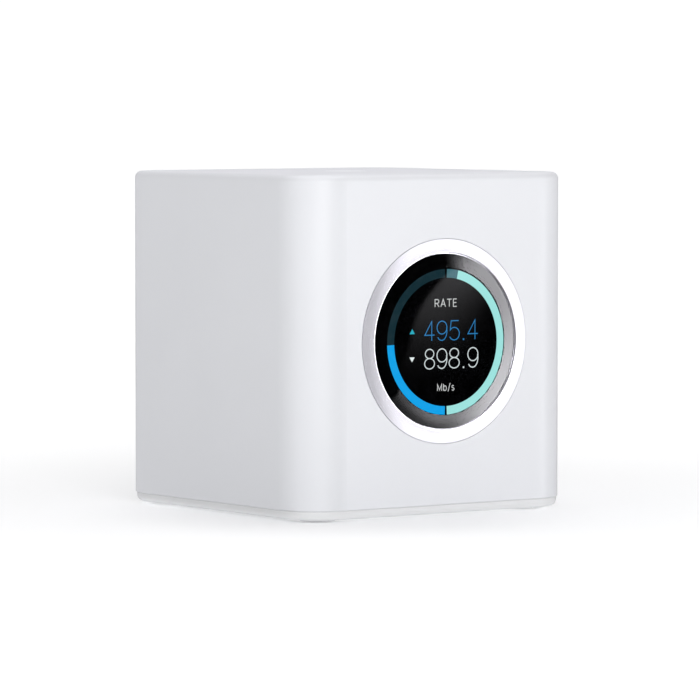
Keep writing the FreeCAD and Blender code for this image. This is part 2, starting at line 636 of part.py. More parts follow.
# ---------------------------------------------------------------- ports
def rj_cavity(x, low):
    """Stepped plug opening of one network port, latch side down."""
    front, back = PORT_FACE + 1, PORT_FACE - RJ_CAVITY
    steps = [(2.0, 1.0, 2.4), (3.2, 2.4, 3.8), (5.95, 3.8, 10.8)]
    tiers = [box(x - half, x + half, back, front, low + z0, low + z1) for half, z0, z1 in steps]
    return tiers[0].fuse(tiers[1:]).removeSplitter()


def rj_led_box(x, low, side):
    lo, hi = sorted((x + side * 3.4, x + side * 6.4))
    return box(lo, hi, PORT_FACE - 1.4, PORT_FACE, low + 11.4, low + 12.9)


def jack_housing(spots):
    xs = [x for x, _ in spots]
    low = spots[0][1]
    half = RJ_PITCH / 2
    body = box(min(xs) - half, max(xs) + half, BOARD_REAR, PORT_FACE, low, low + RJ_HEIGHT)
    cuts = [rj_cavity(x, low) for x in xs]
    cuts += [rj_led_box(x, low, side) for x in xs for side in MIRRORS]
    return body.cut(Part.Compound(cuts))


def jack_shield(spots):
    """Folded sheet-metal sleeve round a network jack."""
    xs = [x for x, _ in spots]
    low = spots[0][1]
    half, t = RJ_PITCH / 2, 0.25
    x0, x1, z1 = min(xs) - half, max(xs) + half, low + RJ_HEIGHT
    outer = box(x0 - t, x1 + t, BOARD_REAR, PORT_FACE, low - t, z1 + t)
    return outer.cut(box(x0, x1, BOARD_REAR - 1, PORT_FACE + 1, low, z1))


def jack_contacts(spots):
    """Eight sprung wires under the roof of each port."""
    wires, pitch, thick, wide, hang = [], 1.02, 0.35, 0.45, 2.2
    for x, low in spots:
        roof = low + 10.8
        near, turn, back = PORT_FACE - 2.5, PORT_FACE - 10.0, PORT_FACE - RJ_CAVITY
        outline = [(near, roof), (turn, roof - hang), (back, roof - hang), (back, roof - hang - thick),
                   (turn - 0.1, roof - hang - thick), (near + 1.0, roof)]
        for k in range(8):
            wx = x + (k - 3.5) * pitch - wide / 2
            points = [Vector(wx, y, z) for y, z in outline]
            face = Part.Face(Part.makePolygon(points + points[:1]))
            wires.append(face.extrude(Vector(wide, 0, 0)))
    return Part.Compound(wires)


def lan_jack_housing():
    return jack_housing(jack_spots())


def lan_jack_shield():
    return jack_shield(jack_spots())


def lan_jack_contacts():
    return jack_contacts(jack_spots())


def wan_jack_housing():
    return jack_housing([(WAN_X, WAN_LOW)])


def wan_jack_shield():
    return jack_shield([(WAN_X, WAN_LOW)])


def wan_jack_contacts():
    return jack_contacts([(WAN_X, WAN_LOW)])


def jack_lights():
    """Small status windows above every network port."""
    spots = jack_spots() + [(WAN_X, WAN_LOW)]
    return Part.Compound([rj_led_box(x, low, side) for x, low in spots for side in MIRRORS])


def usb_a_shell():
    back = PORT_FACE - 14.0
    outer = facing_slab(13.2, 5.8, 0.6, back, PORT_FACE, cx=USB_A_X, cz=UPPER_ROW_Z)
    return outer.cut(facing_slab(12.6, 5.2, 0.3, back - 1, PORT_FACE + 1, cx=USB_A_X, cz=UPPER_ROW_Z))


def usb_a_insulator():
    """Riser block and contact tongue of the USB-A socket."""
    x, z, back = USB_A_X, UPPER_ROW_Z, PORT_FACE - 14.0
    riser = box(x - 6.6, x + 6.6, BOARD_REAR, back, z - 2.9, z + 2.9)
    plug = facing_slab(12.6, 5.2, 0.3, back, back + 3.0, cx=x, cz=z)
    tongue = box(x - 5.55, x + 5.55, back, PORT_FACE - 1.2, z + 0.2, z + 2.04)
    return riser.fuse([plug, tongue]).removeSplitter()


def usb_a_contacts():
    pads = []
    for offset in (-3.5, -1.0, 1.0, 3.5):
        x = USB_A_X + offset
        rear, face, z = PORT_FACE - 11.0, PORT_FACE - 2.2, UPPER_ROW_Z
        pads.append(box(x - 0.5, x + 0.5, rear, face, z, z + 0.2))
    return Part.Compound(pads)


def usb_c_shell():
    back = PORT_FACE - 8.0
    outer = facing_slab(8.94, 3.26, 1.6, back, PORT_FACE, cx=USB_C_X, cz=UPPER_ROW_Z)
    return outer.cut(facing_slab(8.34, 2.66, 1.3, back - 1, PORT_FACE + 1, cx=USB_C_X, cz=UPPER_ROW_Z))


def usb_c_insulator():
    """Riser block and contact tongue of the USB-C power inlet."""
    x, z, back = USB_C_X, UPPER_ROW_Z, PORT_FACE - 8.0
    riser = facing_slab(9.6, 4.6, 0.8, BOARD_REAR, back, cx=x, cz=z)
    plug = facing_slab(8.34, 2.66, 1.3, back, back + 2.0, cx=x, cz=z)
    tongue = box(x - 3.35, x + 3.35, back, PORT_FACE - 1.0, z - 0.35, z + 0.35)
    return riser.fuse([plug, tongue]).removeSplitter()


def port_panel():
    """Recessed plate behind the rear window, pierced for every port."""
    half, low, high = 36.5, FLANGE_TOP + 1.2, DECK_HIGH
    plate = facing_slab(2 * half, high - low, 2.0, PANEL_FRONT, PANEL_REAR, cz=(low + high) / 2)
    front, rear = PANEL_FRONT - 1, PANEL_REAR + 1
    lan_width = LAN_PORTS * RJ_PITCH + 1.1
    jack_high = RJ_HEIGHT + 1.1
    cuts = [
        facing_slab(lan_width, jack_high, 0.5, front, rear, cz=LAN_LOW + RJ_HEIGHT / 2),
        facing_slab(RJ_PITCH + 1.1, jack_high, 0.5, front, rear, cx=WAN_X, cz=UPPER_ROW_Z),
        facing_slab(13.8, 6.4, 0.8, front, rear, cx=USB_A_X, cz=UPPER_ROW_Z),
        facing_slab(9.5, 3.8, 1.89, front, rear, cx=USB_C_X, cz=UPPER_ROW_Z),
        facing_slab(12.6, 6.8, 3.0, PANEL_REAR - 0.6, rear, cx=USB_C_X, cz=UPPER_ROW_Z),
        rod(RESET_CAP_R + 0.3, (RESET_X, front, UPPER_ROW_Z), Y_AXIS, 4),
        rod(RESET_CAP_R + 1.0, (RESET_X, PANEL_REAR - 0.4, UPPER_ROW_Z), Y_AXIS, 2),
    ]
    cuts += [rod(1.1, (x, front, z), Y_AXIS, 4) for x, z in panel_screw_spots()]
    cuts += [rod(2.2, (x, PANEL_REAR - 1.2, z), Y_AXIS, 3) for x, z in panel_screw_spots()]
    return plate.cut(Part.Compound(cuts))


# ---------------------------------------------------------------- reset button


def reset_switch():
    """Six-millimetre tactile switch body with its plunger bore."""
    body = facing_slab(6.0, 6.0, 0.5, BOARD_REAR, BOARD_REAR + SWITCH_T, cx=RESET_X, cz=UPPER_ROW_Z)
    chamber = rod(2.5, (RESET_X, BOARD_REAR + 1.0, UPPER_ROW_Z), Y_AXIS, SWITCH_T - 1.8)
    bore = rod(PLUNGER_R + 0.05, (RESET_X, BOARD_REAR + 1.0, UPPER_ROW_Z), Y_AXIS, SWITCH_T)
    return body.cut(chamber.fuse(bore))


def reset_dome():
    """Snap disc on the floor of the switch."""
    floor, rise, radius = BOARD_REAR + 1.0, 0.5, 2.2
    ball_r = (radius ** 2 + rise ** 2) / (2 * rise)
    centre = Vector(RESET_X, floor + rise - ball_r, UPPER_ROW_Z)
    shell = Part.makeSphere(ball_r, centre).cut(Part.makeSphere(ball_r - 0.12, centre))
    return shell.common(rod(radius, (RESET_X, floor, UPPER_ROW_Z), Y_AXIS, rise + 0.1))


def reset_plunger():
    """Switch stem, held in the body by its flange, that carries the button."""
    flange_low = BOARD_REAR + SWITCH_T - 0.8 - 0.55
    flange = rod(2.3, (RESET_X, flange_low, UPPER_ROW_Z), Y_AXIS, 0.5)
    stem = rod(PLUNGER_R, (RESET_X, flange_low, UPPER_ROW_Z), Y_AXIS, PLUNGER_END - flange_low)
    return flange.fuse(stem).removeSplitter()


def reset_button():
    """Cap pressed on to the switch stem, just below the face of the port panel."""
    start, end = PLUNGER_END - 3.0, PANEL_REAR - 0.5
    cap = rod(RESET_CAP_R, (RESET_X, start, UPPER_ROW_Z), Y_AXIS, end - start)
    cap = cap.makeFillet(0.4, edges_at_y(cap, end))
    return cap.cut(rod(PLUNGER_R, (RESET_X, start - 1, UPPER_ROW_Z), Y_AXIS, PLUNGER_END - start + 1))


# ---------------------------------------------------------------- speaker


def speaker_screw_spots():
    return [(SPEAKER_X - 14.6, SPEAKER_Y), (SPEAKER_X + 14.6, SPEAKER_Y)]


def about_speaker(profile):
    """A solid turned about the speaker's upright axis, from (radius, z) points."""
    points = [Vector(SPEAKER_X + r, SPEAKER_Y, z) for r, z in profile]
    wire = Part.makePolygon(points + points[:1])
    return Part.Face(wire).revolve(Vector(SPEAKER_X, SPEAKER_Y, 0), Z_AXIS, 360)


def speaker_frame():
    """Basket that faces down through the base vents, with two screw ears."""
    z = FLANGE_TOP
    basket = about_speaker([(SPEAKER_R - 2.0, z), (SPEAKER_R, z), (SPEAKER_R, z + 2.0), (8.0, z + 4.2),
                            (6.2, z + 4.2), (6.2, z + 3.4), (SPEAKER_R - 2.0, z + 1.4)])
    ears = box(SPEAKER_X - 16.6, SPEAKER_X + 16.6, SPEAKER_Y - 2.6, SPEAKER_Y + 2.6, z, z + 1.2)
    ears = ears.cut(rod(SPEAKER_R - 1.0, (SPEAKER_X, SPEAKER_Y, z - 1), Z_AXIS, 4))
    frame = basket.fuse(ears)
    holes = [rod(0.9, (x, y, z - 1), Z_AXIS, 4) for x, y in speaker_screw_spots()]
    return frame.cut(Part.Compound(holes))


def speaker_cone():
    z, rim = FLANGE_TOP, SPEAKER_R - 2.0
    outside = [(rim, z + 0.2), (rim, z + 0.5), (8.6, z + 1.0), (4.0, z + 2.6)]
    inside = [(0.0, z + 2.0), (0.0, z + 1.7), (4.0, z + 2.3), (8.6, z + 0.7)]
    return about_speaker(outside + inside)


def speaker_magnet():
    z = FLANGE_TOP + 4.2
    magnet = rod(7.2, (SPEAKER_X, SPEAKER_Y, z), Z_AXIS, 3.0)
    return magnet.makeFillet(0.5, edges_at_z(magnet, z + 3.0))


# ---------------------------------------------------------------- antennas and leads


def antenna_screw_spots():
    return [(sx * 35.0, y) for sx in MIRRORS for y in (-24.0, 28.0)]


def antenna_feeds():
    """(x, y, turn) of each radiator's feed: three long ones and three short ones."""
    long_ones = [(-30.0, -6.0, -90), (0.0, -24.0, 0), (30.0, -18.0, 90)]
    short_ones = [(-30.0, 14.0, -90), (0.0, 0.0, 0), (30.0, 12.0, 90)]
    return long_ones, short_ones


def antenna_carrier():
    """Plastic tray for the radiators, on the deck of the chassis."""
    tray = upright_prism(76.0, 58.0, 4.0, DECK_HIGH, CARRIER_HIGH, cy=2.0)
    cuts = [upright_prism(44.0, 13.0, 3.0, DECK_HIGH - 1, CARRIER_HIGH + 1, cy=-12.0),
            upright_prism(*COAX_SLOT, DECK_HIGH - 1, CARRIER_HIGH + 1, cy=COAX_RISE_Y)]
    cuts += [rod(1.0, (x, y, DECK_HIGH - 1), Z_AXIS, 4) for x, y in antenna_screw_spots()]
    return tray.cut(Part.Compound(cuts))


def small_screws():
    """Self-tapping screws of the antenna carrier and the speaker."""
    places = [(x, y, CARRIER_HIGH) for x, y in antenna_screw_spots()]
    places += [(x, y, FLANGE_TOP + 1.2) for x, y in speaker_screw_spots()]
    return Part.Compound([screw(place, Vector(0, 0, -1), 1.6, 1.0, 0.75, 3.2) for place in places])


def radiator(x, y, turn, length, height):
    """Stamped inverted-F radiator standing on the carrier."""
    t, leg = 0.4, 1.6
    foot = box(-leg / 2, leg / 2, -4.0, t / 2, 0, t)
    feed = box(-leg / 2, leg / 2, -t / 2, t / 2, 0, height)
    short = box(-leg / 2 - 5.0, leg / 2 - 5.0, -t / 2, t / 2, 0, height)
    arm = box(-leg / 2 - 5.0, length - leg / 2 - 5.0, -t / 2, t / 2, height - 2.4, height)
    solid = feed.fuse([foot, short, arm]).removeSplitter()
    solid.rotate(Vector(0, 0, 0), Z_AXIS, turn)
    solid.translate(Vector(x, y, CARRIER_HIGH))
    return solid


def antennas_long():
    return Part.Compound([radiator(x, y, turn, 24.0, 7.2) for x, y, turn in antenna_feeds()[0]])


def antennas_short():
    return Part.Compound([radiator(x, y, turn, 13.0, 6.0) for x, y, turn in antenna_feeds()[1]])


def coax_socket_spots():
    return [(x, 82.2) for x in (-25.0, -15.0, -5.0, 5.0, 15.0, 25.0)]


def coax_sockets():
    sockets = []
    for x, z in coax_socket_spots():
        base = box(x - 1.3, x + 1.3, BOARD_FRONT - 0.5, BOARD_FRONT, z - 1.3, z + 1.3)
        sockets.append(base.fuse(rod(1.1, (x, BOARD_FRONT - 1.6, z), Y_AXIS, 1.2)).removeSplitter())
    return Part.Compound(sockets)


def coax_cables():
    """Six thin leads from the board's sockets, up through the deck and along it to the radiators."""
    lay = CARRIER_HIGH + COAX_R + 0.05
    routes = [
        [(-25.0, 14.0), (-28.6, 14.0)],
        [(-15.0, 8.0), (-20.0, -6.0), (-28.6, -6.0)],
        [(-5.0, 8.0), (-11.0, 0.0), (-11.0, -14.0), (0.0, -18.0), (0.0, -22.6)],
        [(5.0, 12.0), (0.0, 8.0), (0.0, 1.4)],
        [(15.0, 8.0), (20.0, -18.0), (28.6, -18.0)],
        [(25.0, 12.0), (28.6, 12.0)],
    ]
    leads = []
    for (x, z), route in zip(coax_socket_spots(), routes):
        points = [(x, BOARD_FRONT - 1.65, z), (x, COAX_RISE_Y, z), (x, COAX_RISE_Y, lay)]
        leads.append(wire_lead(points + [(px, py, lay) for px, py in route], COAX_R))
    return Part.Compound(leads)


def lead_sockets():
    """Sockets for the display's flat cable at both ends, and for the light and speaker leads."""
    rear = DISPLAY_BOARD_FRONT + DISPLAY_BOARD_T
    blocks = [box(-6.6, 6.6, rear, rear + 2.0, 35.0, 37.2)]
    blocks.append(box(-6.6, 6.6, BOARD_FRONT - 2.2, BOARD_FRONT, LEAD_Z - 1.1, LEAD_Z + 1.1))
    for x in (-17.0, 19.0):
        blocks.append(box(x - 3.4, x + 3.4, BOARD_FRONT - 4.0, BOARD_FRONT, LEAD_Z - 1.8, LEAD_Z + 1.8))
    return Part.Compound(blocks)


def display_ribbon():
    """Flat cable from the display board, down behind it and back under the heatsink."""
    start_y = DISPLAY_BOARD_FRONT + DISPLAY_BOARD_T + 2.0
    points = [(0, start_y, 36.1), (0, -29.0, 36.1), (0, -29.0, LEAD_Z), (0, BOARD_FRONT - 2.2, LEAD_Z)]
    return flat_lead(points, (10.5, 0, 0), 0.3, 4.0)


def inner_leads():
    """Pairs of wires from the light board and from the speaker to the main board."""
    end_y, low = BOARD_FRONT - 4.0, FLANGE_TOP + 1.0
    leads = []
    for x in (18.0, 20.0):
        points = [(x, -42.0, low), (x, -42.0, 10.5), (x, -30.0, LEAD_Z), (x, -8.0, LEAD_Z + 0.8),
                  (x, 12.0, LEAD_Z), (x, end_y, LEAD_Z - 0.2)]
        leads.append(wire_lead(points, 0.6))
    for x in (-18.0, -16.0):
        points = [(x, SPEAKER_Y + 10.0, 9.5), (x, 2.0, 9.5), (x, 12.0, LEAD_Z), (x, end_y, LEAD_Z - 0.2)]
        leads.append(wire_lead(points, 0.6))
    return Part.Compound(leads)


NODES = [
    case, top_badge, light_ring, base_plate, rubber_feet, case_screws, chassis_screws, chassis, light_board,
    base_leds, display_bezel, display_glass, glass_adhesive, touch_sensor, lcd_panel, display_backlight,
    display_bracket, display_screws, display_board, display_chips, main_board, frame_screws, processor_chip,
    memory_chips, switch_chip, radio_shields, radio_chips, thermal_pads, heatsink, power_parts,
    lan_jack_housing, lan_jack_shield, lan_jack_contacts, wan_jack_housing, wan_jack_shield,
    wan_jack_contacts, jack_lights, usb_a_shell, usb_a_insulator, usb_a_contacts, usb_c_shell,
    usb_c_insulator, port_panel, reset_switch, reset_dome, reset_plunger, reset_button, speaker_frame,
    speaker_cone, speaker_magnet, antenna_carrier, antennas_long, antennas_short, small_screws,
    coax_sockets, coax_cables, lead_sockets, display_ribbon, inner_leads,
]


def main():
    os.makedirs("parts", exist_ok=True)
    for make in NODES:
        shape = make()
        sound = shape.isValid() and all(s.isClosed() for s in shape.Shells)
        shape.exportStep(f"parts/{make.__name__}.step")
        count = len(shape.Solids)
        print(f"{make.__name__:18s} solids {count:3d} volume {shape.Volume:10.1f} sound {sound}")


main()
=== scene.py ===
"""Looks for the cube-shaped router with a round touch display, in metres and in the CAD's frame."""
import math

import bmesh
import bpy
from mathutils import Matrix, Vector


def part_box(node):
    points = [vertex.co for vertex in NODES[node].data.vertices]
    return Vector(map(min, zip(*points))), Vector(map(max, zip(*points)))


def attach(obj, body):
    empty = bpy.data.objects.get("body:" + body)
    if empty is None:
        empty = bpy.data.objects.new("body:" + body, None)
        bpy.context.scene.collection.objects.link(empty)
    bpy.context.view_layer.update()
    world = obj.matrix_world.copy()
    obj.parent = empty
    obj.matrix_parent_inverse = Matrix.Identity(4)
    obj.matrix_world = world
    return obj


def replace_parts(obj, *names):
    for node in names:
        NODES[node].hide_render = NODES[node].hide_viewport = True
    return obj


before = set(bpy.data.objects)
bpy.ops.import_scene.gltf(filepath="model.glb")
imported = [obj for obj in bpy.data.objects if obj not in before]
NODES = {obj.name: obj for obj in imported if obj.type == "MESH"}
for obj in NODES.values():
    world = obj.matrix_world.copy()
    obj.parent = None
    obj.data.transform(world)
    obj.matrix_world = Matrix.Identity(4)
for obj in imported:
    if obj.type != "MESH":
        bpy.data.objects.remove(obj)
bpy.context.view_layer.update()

MM = 0.001
ROUTER = "router"
scene = bpy.context.scene

# ---------------------------------------------------------------- places read from the CAD
glass_low, glass_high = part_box("display_glass")
lcd_low, lcd_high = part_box("lcd_panel")
SCREEN_X = (glass_low.x + glass_high.x) / 2
SCREEN_Z = (glass_low.z + glass_high.z) / 2
GLASS_REAR = glass_high.y
GLASS_R = (glass_high.x - glass_low.x) / 2
SCREEN_R = (lcd_high.x - lcd_low.x) / 2

# ---------------------------------------------------------------- camera
# Directions are in degrees: azimuth from the front (-Y) towards +X, and elevation up from level.
VIEW_AZIMUTH = -36.0426
VIEW_ELEVATION = 3.2033
VIEW_DISTANCE = 1.416
VIEW_AIM = Vector((0.00088, -0.00064, 0.04636))
SENSOR_WIDTH = 36.0
FOCAL_LENGTH = 244.779


def toward(azimuth, elevation):
    """The unit vector that points in a direction."""
    turn, lift = math.radians(azimuth), math.radians(elevation)
    return Vector((math.sin(turn) * math.cos(lift), -math.cos(turn) * math.cos(lift), math.sin(lift)))


def put(thing, place, facing):
    """Puts a camera or a light into the scene at a place, facing along a vector."""
    scene.collection.objects.link(thing)
    thing.location = place
    thing.rotation_mode = "QUATERNION"
    thing.rotation_quaternion = facing.to_track_quat("-Z", "Y")


def make_camera():
    data = bpy.data.cameras.new("camera")
    data.sensor_width = SENSOR_WIDTH
    data.lens = FOCAL_LENGTH
    data.clip_start, data.clip_end = 0.05, 50.0
    camera = bpy.data.objects.new("camera", data)
    back = toward(VIEW_AZIMUTH, VIEW_ELEVATION)
    put(camera, VIEW_AIM + back * VIEW_DISTANCE, -back)
    scene.camera = camera


# ---------------------------------------------------------------- node helpers
def node(tree, kind, **settings):
    made = tree.nodes.new(kind)
    for key, value in settings.items():
        setattr(made, key, value)
    return made


class Value:
    """A number in a node tree, which adds, subtracts and multiplies like a plain number."""

    def __init__(self, tree, socket):
        self.tree = tree
        self.socket = socket

    def by(self, operation, other=None):
        """What a Math node makes of this value, together with another one if that is given."""
        made = node(self.tree, "ShaderNodeMath", operation=operation)
        self.tree.links.new(self.socket, made.inputs[0])
        if isinstance(other, Value):
            self.tree.links.new(other.socket, made.inputs[1])
        elif other is not None:
            made.inputs[1].default_value = other
        return Value(self.tree, made.outputs[0])

    def __add__(self, other):
        return self.by("ADD", other)

    def __sub__(self, other):
        return self.by("SUBTRACT", other)

    def __mul__(self, other):
        return self.by("MULTIPLY", other)

    def __pow__(self, other):
        return self.by("POWER", other)

    def __neg__(self):
        return self * -1.0

    def __rsub__(self, other):
        return -self + other

    def __abs__(self):
        return self.by("ABSOLUTE")

    def step(self, start, stop):
        """0 at start and before it, 1 at stop and past it, and smooth between them."""
        made = node(self.tree, "ShaderNodeMapRange", interpolation_type="SMOOTHSTEP")
        self.tree.links.new(self.socket, made.inputs["Value"])
        made.inputs["From Min"].default_value = start
        made.inputs["From Max"].default_value = stop
        return Value(self.tree, made.outputs["Result"])


def axes(tree, vector):
    """The x, y and z of a vector socket, as values."""
    parts = node(tree, "ShaderNodeSeparateXYZ")
    tree.links.new(vector, parts.inputs[0])
    return [Value(tree, socket) for socket in parts.outputs]


def distance_from(tree, place, point):
    made = node(tree, "ShaderNodeVectorMath", operation="DISTANCE")
    tree.links.new(place, made.inputs[0])
    made.inputs[1].default_value = point
    return Value(tree, made.outputs["Value"])


def mixed(tree, choice, first, second):
    """The first shader where choice is 0, and the second where it is 1."""
    made = node(tree, "ShaderNodeMixShader")
    for entry, socket in zip(made.inputs, (choice, first, second)):
        tree.links.new(socket, entry)
    return made.outputs[0]


def new_material(name):
    material = bpy.data.materials.new(name)
    material.use_nodes = True
    tree = material.node_tree
    shader = tree.nodes["Principled BSDF"]
    return material, tree, shader


def noise(tree, scale, detail=2.0):
    """A noise field in object space, with scale in cycles per metre."""
    made = node(tree, "ShaderNodeTexNoise")
    made.inputs["Scale"].default_value = scale
    made.inputs["Detail"].default_value = detail
    tree.links.new(node(tree, "ShaderNodeTexCoord").outputs["Object"], made.inputs["Vector"])
    return made.outputs["Fac"]


def two_tone(tree, shader, field, dark, light):
    """A base colour that goes from dark to light over the middle of a noise field's range."""
    ramp = node(tree, "ShaderNodeValToRGB")
    for stop, position, colour in zip(ramp.color_ramp.elements, (0.35, 0.65), (dark, light)):
        stop.position = position
        stop.color = (*colour, 1)
    tree.links.new(field, ramp.inputs["Fac"])
    tree.links.new(ramp.outputs["Color"], shader.inputs["Base Color"])


def roughness_range(tree, shader, field, low, high):
    """A roughness that goes from low to high over the middle of a noise field's range."""
    spread = node(tree, "ShaderNodeMapRange")
    spread.inputs["From Min"].default_value = 0.3
    spread.inputs["From Max"].default_value = 0.7
    spread.inputs["To Min"].default_value = low
    spread.inputs["To Max"].default_value = high
    tree.links.new(field, spread.inputs["Value"])
    tree.links.new(spread.outputs["Result"], shader.inputs["Roughness"])


def bumps(tree, shader, field, strength, depth):
    """A surface that follows a noise field, with its depth in millimetres."""
    bump = node(tree, "ShaderNodeBump")
    bump.inputs["Strength"].default_value = strength
    bump.inputs["Distance"].default_value = depth * MM
    tree.links.new(field, bump.inputs["Height"])
    tree.links.new(bump.outputs["Normal"], shader.inputs["Normal"])


MOTTLE_SCALE = 45.0  # cycles per metre, like each grain


def moulded(name, colour, rough=0.5, spread=0.06, vary=0.03, grain=1500.0, bump=0.1, depth=0.03,
            metal=0.0):
    """A plastic, rubber, board or metal finish: slight mottling, a fine grain and uneven gloss.

    The colour varies by vary each way, and the roughness by spread. The grain's depth is in millimetres.
    """
    material, tree, shader = new_material(name)
    mottle = noise(tree, MOTTLE_SCALE, 3.0)
    fine = noise(tree, grain)
    dark = tuple(c * (1 - vary) for c in colour)
    light = tuple(min(1.0, c * (1 + vary)) for c in colour)
    two_tone(tree, shader, mottle, dark, light)
    roughness_range(tree, shader, fine, rough - spread, rough + spread)
    bumps(tree, shader, fine, bump, depth)
    shader.inputs["Metallic"].default_value = metal
    return material


def dress(material, *names):
    for name in names:
        mesh = NODES[name].data
        mesh.materials.clear()
        mesh.materials.append(material)


# ---------------------------------------------------------------- finishes of the CAD parts
def dress_shell():
    shell = moulded("shell_satin_white", (0.733, 0.742, 0.768), rough=0.4, spread=0.05, vary=0.006,
                    grain=2600.0, bump=0.12, depth=0.02)
    dress(shell, "case")
    badge = moulded("badge_gloss_white", (0.90, 0.91, 0.92), rough=0.45, spread=0.03, vary=0.006,
                    grain=900.0, bump=0.02)
    dress(badge, "top_badge")
    base = moulded("base_grey", (0.58, 0.59, 0.60), rough=0.55, vary=0.02, grain=1800.0, bump=0.2)
    dress(base, "base_plate")
    rubber = moulded("foot_rubber", (0.78, 0.78, 0.79), rough=0.75, spread=0.08, grain=1200.0,
                     bump=0.35, depth=0.05)
    dress(rubber, "rubber_feet")
    panel = moulded("panel_white", (0.62, 0.63, 0.65), rough=0.55, spread=0.05, vary=0.012,
                    grain=2200.0, bump=0.2)
    dress(panel, "port_panel")


def dress_light_ring():
    """Cloudy plastic whose light leaves mostly through its underside, and the lamps behind it."""
    material, tree, shader = new_material("light_ring_translucent")
    cloudy = noise(tree, 60.0)
    two_tone(tree, shader, cloudy, (0.72, 0.725, 0.73), (0.74, 0.745, 0.75))
    roughness_range(tree, shader, cloudy, 0.38, 0.44)
    shader.inputs["Emission Color"].default_value = (0.94, 0.97, 1.0, 1)
    facing = axes(tree, node(tree, "ShaderNodeNewGeometry").outputs["Normal"])[2]
    lit = facing.step(0.1, -0.8) * 0.07 + facing.step(-0.90, -0.995) * 0.20
    tree.links.new(lit.socket, shader.inputs["Emission Strength"])
    dress(material, "light_ring")
    leds = moulded("led_lens", (0.95, 0.90, 0.70), rough=0.25, spread=0.05, grain=900.0, bump=0.05)
    shader = leds.node_tree.nodes["Principled BSDF"]
    shader.inputs["Emission Color"].default_value = (0.95, 0.97, 1.0, 1)
    shader.inputs["Emission Strength"].default_value = 3.0
    dress(leds, "base_leds")


def dress_bezel():
    """Bright pearl-plated ring with a soft polish."""
    material, tree, shader = new_material("bezel_pearl_chrome")
    tone = noise(tree, 60.0)
    two_tone(tree, shader, tone, (0.89, 0.885, 0.93), (0.92, 0.915, 0.955))
    roughness_range(tree, shader, noise(tree, 2400.0), 0.14, 0.20)
    bumps(tree, shader, noise(tree, 1800.0), 0.02, 0.02)
    shader.inputs["Metallic"].default_value = 0.85
    dress(material, "display_bezel")


def dress_glass():
    """Clear cover glass, and the dark film and screen behind it."""
    material, tree, shader = new_material("cover_glass")
    film = noise(tree, 30.0, 3.0)
    two_tone(tree, shader, film, (0.985, 0.985, 0.985), (1.0, 1.0, 1.0))
    roughness_range(tree, shader, film, 0.0, 0.012)
    shader.inputs["Transmission Weight"].default_value = 1.0
    shader.inputs["IOR"].default_value = 1.5
    dress(material, "display_glass")
    sensor, tree, shader = new_material("sensor_film")
    film = noise(tree, 200.0)
    two_tone(tree, shader, film, (0.010, 0.011, 0.013), (0.014, 0.015, 0.017))
    roughness_range(tree, shader, film, 0.16, 0.22)
    dress(sensor, "touch_sensor", "lcd_panel")


def dress_ports():
    tin = moulded("tin_plate", (0.62, 0.63, 0.64), rough=0.3, vary=0.05, grain=500.0, bump=0.15, metal=1.0)
    dress(tin, "lan_jack_shield", "wan_jack_shield", "radio_shields")
    steel = moulded("port_steel", (0.56, 0.57, 0.58), rough=0.26, vary=0.05, grain=700.0, depth=0.02,
                    metal=1.0)
    dress(steel, "usb_a_shell", "usb_c_shell", "speaker_frame", "reset_dome")
    gold = moulded("gold_plate", (0.86, 0.62, 0.24), rough=0.22, spread=0.05, vary=0.06, grain=900.0,
                   depth=0.01, metal=1.0)
    dress(gold, "lan_jack_contacts", "wan_jack_contacts", "usb_a_contacts", "coax_sockets")
    black = moulded("jack_black", (0.022, 0.022, 0.024), rough=0.45, spread=0.08, vary=0.1, bump=0.2)
    dress(black, "lan_jack_housing", "usb_c_insulator", "reset_switch")
    blue = moulded("jack_blue", (0.02, 0.12, 0.42), rough=0.45, spread=0.08, vary=0.06, bump=0.2)
    dress(blue, "wan_jack_housing")
    lens = moulded("status_lens", (0.46, 0.62, 0.40), rough=0.22, spread=0.04, vary=0.05, grain=700.0,
                   bump=0.05)
    dress(lens, "jack_lights")
    tongue = moulded("port_tongue", (0.66, 0.66, 0.62), grain=1400.0)
    dress(tongue, "usb_a_insulator", "reset_plunger")
    key = moulded("button_grey", (0.12, 0.125, 0.13), rough=0.42, vary=0.05, grain=1300.0, bump=0.15)
    dress(key, "reset_button")


